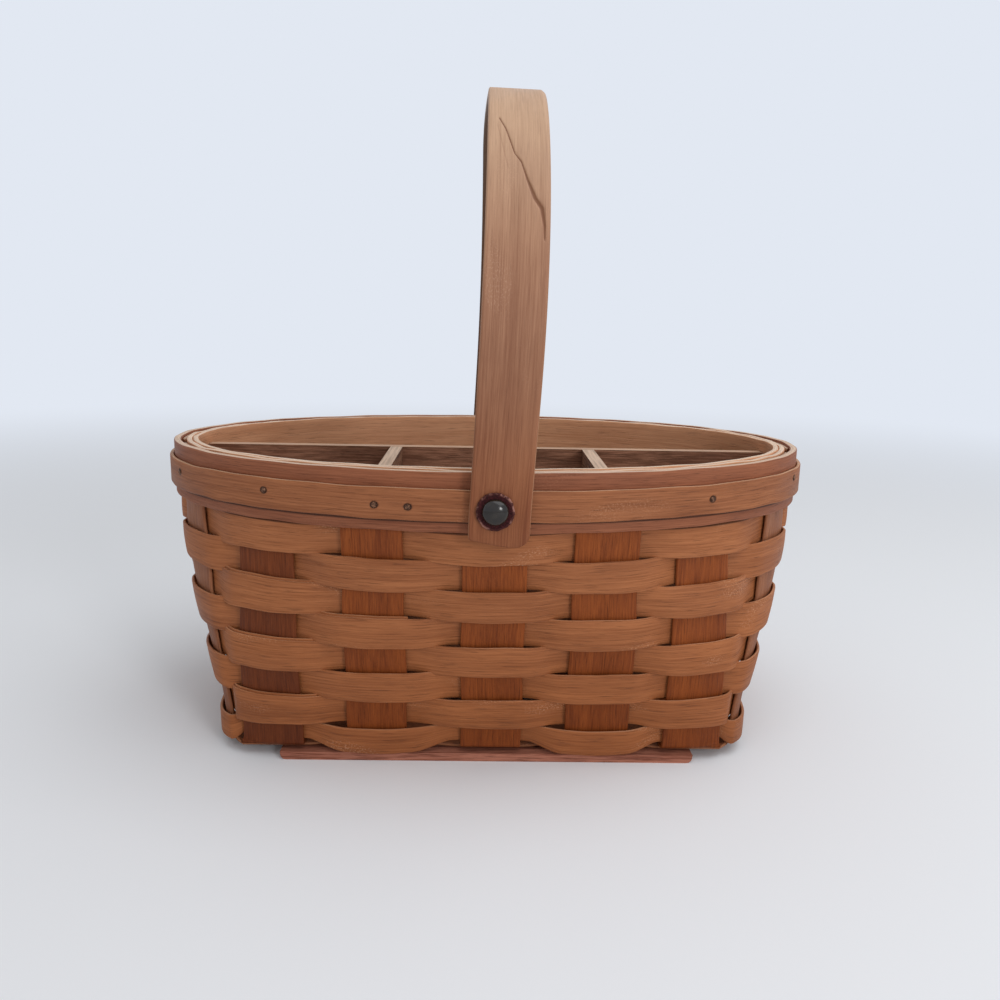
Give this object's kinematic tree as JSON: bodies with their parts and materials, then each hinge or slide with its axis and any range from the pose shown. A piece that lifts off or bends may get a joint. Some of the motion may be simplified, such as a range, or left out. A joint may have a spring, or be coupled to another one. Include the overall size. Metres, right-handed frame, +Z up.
{
  "type": "woven utensil caddy",
  "caption": "Oval woven splint caddy with a banded rim, inner dividers forming compartments, foot runners and a bentwood handle that swings on two rivets.",
  "frame": {"origin": "centre of the rim's outline on the plane the foot runners stand on", "axes": "+X along the long side, -Y the face with the front rivet, +Z up"},
  "size_m": [0.33, 0.2382, 0.3178],
  "materials": {
    "stake_splint": "oiled reddish brown splint, satin",
    "weaver_splint": "oiled honey brown splint, satin",
    "rim_band": "oiled honey brown splint, satin",
    "inner_band": "light brown strip with a pale top edge",
    "divider_board": "sawn brown board",
    "foot_runner": "stained runner strip",
    "handle_strip": "smooth bent strip, satin",
    "bronze_rivet": "dark antique bronze",
    "leather_washer": "dark burgundy leather",
    "steel_brad": "dull dark wire brad"
  },
  "bodies": {
    "basket": {"cross_splint_left": "stake_splint", "cross_splint_left_mid": "stake_splint", "cross_splint_middle": "stake_splint", "cross_splint_right_mid": "stake_splint", "cross_splint_right": "stake_splint", "long_splint_front": "stake_splint", "long_splint_middle": "stake_splint", "long_splint_back": "stake_splint", "weaver_row_A": "weaver_splint", "weaver_row_B": "weaver_splint", "weaver_row_C": "weaver_splint", "weaver_row_D": "weaver_splint", "weaver_row_E": "weaver_splint", "weaver_row_F": "weaver_splint", "weaver_row_G": "weaver_splint", "weaver_row_H": "weaver_splint", "rim_outer_band": "rim_band", "rim_binding": "rim_band", "rim_inner_band": "inner_band", "divider_long": "divider_board", "divider_cross_left": "divider_board", "divider_cross_right": "divider_board", "runner_front": "foot_runner", "runner_back": "foot_runner", "rivet_front": "bronze_rivet", "leather_washer_front": "leather_washer", "rivet_burr_front": "bronze_rivet", "rivet_back": "bronze_rivet", "leather_washer_back": "leather_washer", "rivet_burr_back": "bronze_rivet", "brad_01": "steel_brad", "brad_02": "steel_brad", "brad_03": "steel_brad", "brad_04": "steel_brad", "brad_05": "steel_brad", "brad_06": "steel_brad", "brad_07": "steel_brad", "brad_08": "steel_brad", "brad_09": "steel_brad", "brad_10": "steel_brad", "brad_11": "steel_brad", "brad_12": "steel_brad"},
    "swing_handle": {"handle": "handle_strip"}
  },
  "joints": [
    {"name": "handle_swing", "type": "hinge", "parent": "basket", "child": "swing_handle", "pos_m": [0.0032, 0, 0.131], "axis": [0, 1, 0], "range_deg": [-120, 115]}
  ]
}
